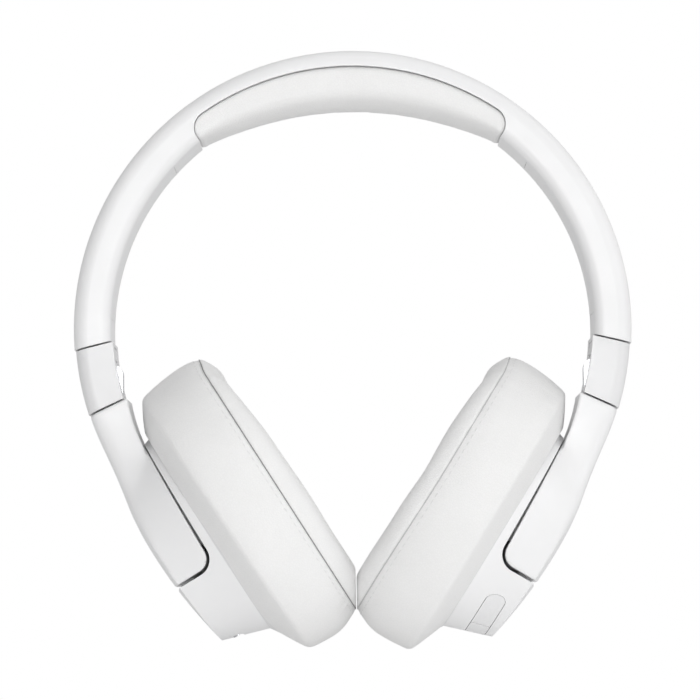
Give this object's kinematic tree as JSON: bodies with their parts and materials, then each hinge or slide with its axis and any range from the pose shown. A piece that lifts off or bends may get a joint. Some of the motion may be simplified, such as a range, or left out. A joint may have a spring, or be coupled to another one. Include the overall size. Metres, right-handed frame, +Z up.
{
  "type": "over ear headphones",
  "caption": "Wireless folding over ear headphones with padded band, sliding and folding arms, tilting cups, soft oval ear pads and a strip of keys.",
  "frame": {"origin": "bottom centre of the bounding box, under the lowest points of the ear pads", "axes": "+Z up through the crown of the band; X across the head, +X on the side of the cup that carries the keys; Y front to back of the band, -Y toward the viewed side"},
  "size_m": [0.178, 0.0796, 0.1901],
  "materials": {
    "white_shell": "satin moulded",
    "gloss_white": "polished",
    "white_leather": "fine grained leatherette",
    "spring_steel": "blued strip",
    "cable_rubber": "smooth",
    "brushed_steel": "brushed",
    "white_plastic_inner": "fine texture",
    "black_plastic": "fine texture",
    "diaphragm_film": "film",
    "magnet_iron": "plated",
    "pad_cloth": "knitted screen",
    "board": "solder mask",
    "battery_wrap": "foil wrap",
    "light_lens": "translucent lens",
    "key_white": "satin"
  },
  "bodies": {
    "headband": {"headband_shell": "white_shell", "headband_cover_left": "white_shell", "headband_cover_right": "white_shell", "headband_spring": "spring_steel", "crossover_cable": "cable_rubber", "headband_cushion": "white_leather", "slider_detent_left": "spring_steel", "slider_detent_right": "spring_steel"},
    "slider_right": {"slider_strip_right": "brushed_steel", "hinge_housing_right": "gloss_white", "hinge_cover_right": "gloss_white", "fold_pin_right": "brushed_steel"},
    "arm_right": {"arm_shell_right": "white_shell", "arm_bracket_right": "brushed_steel"},
    "cup_right": {"cup_housing_right": "white_shell", "baffle_right": "white_plastic_inner", "driver_frame_right": "black_plastic", "driver_diaphragm_right": "diaphragm_film", "driver_magnet_right": "magnet_iron", "pad_ring_right": "white_plastic_inner", "pad_mesh_right": "pad_cloth", "ear_pad_right": "white_leather", "cup_screws_right": "brushed_steel", "tilt_pin_right": "brushed_steel", "main_board": "board", "status_light": "light_lens"},
    "slider_left": {"slider_strip_left": "brushed_steel", "hinge_housing_left": "gloss_white", "hinge_cover_left": "gloss_white", "fold_pin_left": "brushed_steel"},
    "arm_left": {"arm_shell_left": "white_shell", "arm_bracket_left": "brushed_steel"},
    "cup_left": {"cup_housing_left": "white_shell", "baffle_left": "white_plastic_inner", "driver_frame_left": "black_plastic", "driver_diaphragm_left": "diaphragm_film", "driver_magnet_left": "magnet_iron", "pad_ring_left": "white_plastic_inner", "pad_mesh_left": "pad_cloth", "ear_pad_left": "white_leather", "cup_screws_left": "brushed_steel", "tilt_pin_left": "brushed_steel", "battery": "battery_wrap", "aux_jack": "black_plastic", "usb_c_socket": "brushed_steel", "microphones": "black_plastic"},
    "volume_up_key": {"volume_up_key": "key_white"},
    "play_key": {"play_key": "key_white"},
    "volume_down_key": {"volume_down_key": "key_white"},
    "noise_control_key": {"noise_control_key": "key_white"},
    "power_switch": {"power_switch": "key_white"}
  },
  "joints": [
    {"name": "size_slide_right", "type": "slide", "parent": "headband", "child": "slider_right", "axis": [0.1478, 0, -0.989], "range_m": [0, 0.025]},
    {"name": "fold_right", "type": "hinge", "parent": "slider_right", "child": "arm_right", "pos_m": [0.07741, 0, 0.0875], "axis": [0, 1, 0], "range_deg": [0, 80]},
    {"name": "tilt_right", "type": "hinge", "parent": "arm_right", "child": "cup_right", "pos_m": [0.05584, 0, 0.0346], "axis": [0, 1, 0], "range_deg": [-4, 0]},
    {"name": "size_slide_left", "type": "slide", "parent": "headband", "child": "slider_left", "axis": [-0.1478, 0, -0.989], "range_m": [0, 0.025]},
    {"name": "fold_left", "type": "hinge", "parent": "slider_left", "child": "arm_left", "pos_m": [-0.07741, 0, 0.0875], "axis": [0, 1, 0], "range_deg": [-80, 0]},
    {"name": "tilt_left", "type": "hinge", "parent": "arm_left", "child": "cup_left", "pos_m": [-0.05584, 0, 0.0346], "axis": [0, 1, 0], "range_deg": [0, 4]},
    {"name": "volume_up_press", "type": "slide", "parent": "cup_right", "child": "volume_up_key", "axis": [0.3547, 0.7429, 0.5676], "range_m": [0, 0.0004], "stiffness_N_per_m": 600},
    {"name": "play_press", "type": "slide", "parent": "cup_right", "child": "play_key", "axis": [0.5085, 0.2814, 0.8138], "range_m": [0, 0.0004], "stiffness_N_per_m": 600},
    {"name": "volume_down_press", "type": "slide", "parent": "cup_right", "child": "volume_down_key", "axis": [0.5085, -0.2814, 0.8138], "range_m": [0, 0.0004], "stiffness_N_per_m": 600},
    {"name": "noise_control_press", "type": "slide", "parent": "cup_right", "child": "noise_control_key", "axis": [0.3844, -0.6883, 0.6152], "range_m": [0, 0.0004], "stiffness_N_per_m": 600},
    {"name": "power_slide", "type": "slide", "parent": "cup_right", "child": "power_switch", "axis": [-0.4791, -0.4271, -0.7668], "range_m": [0, 0.0024]}
  ]
}
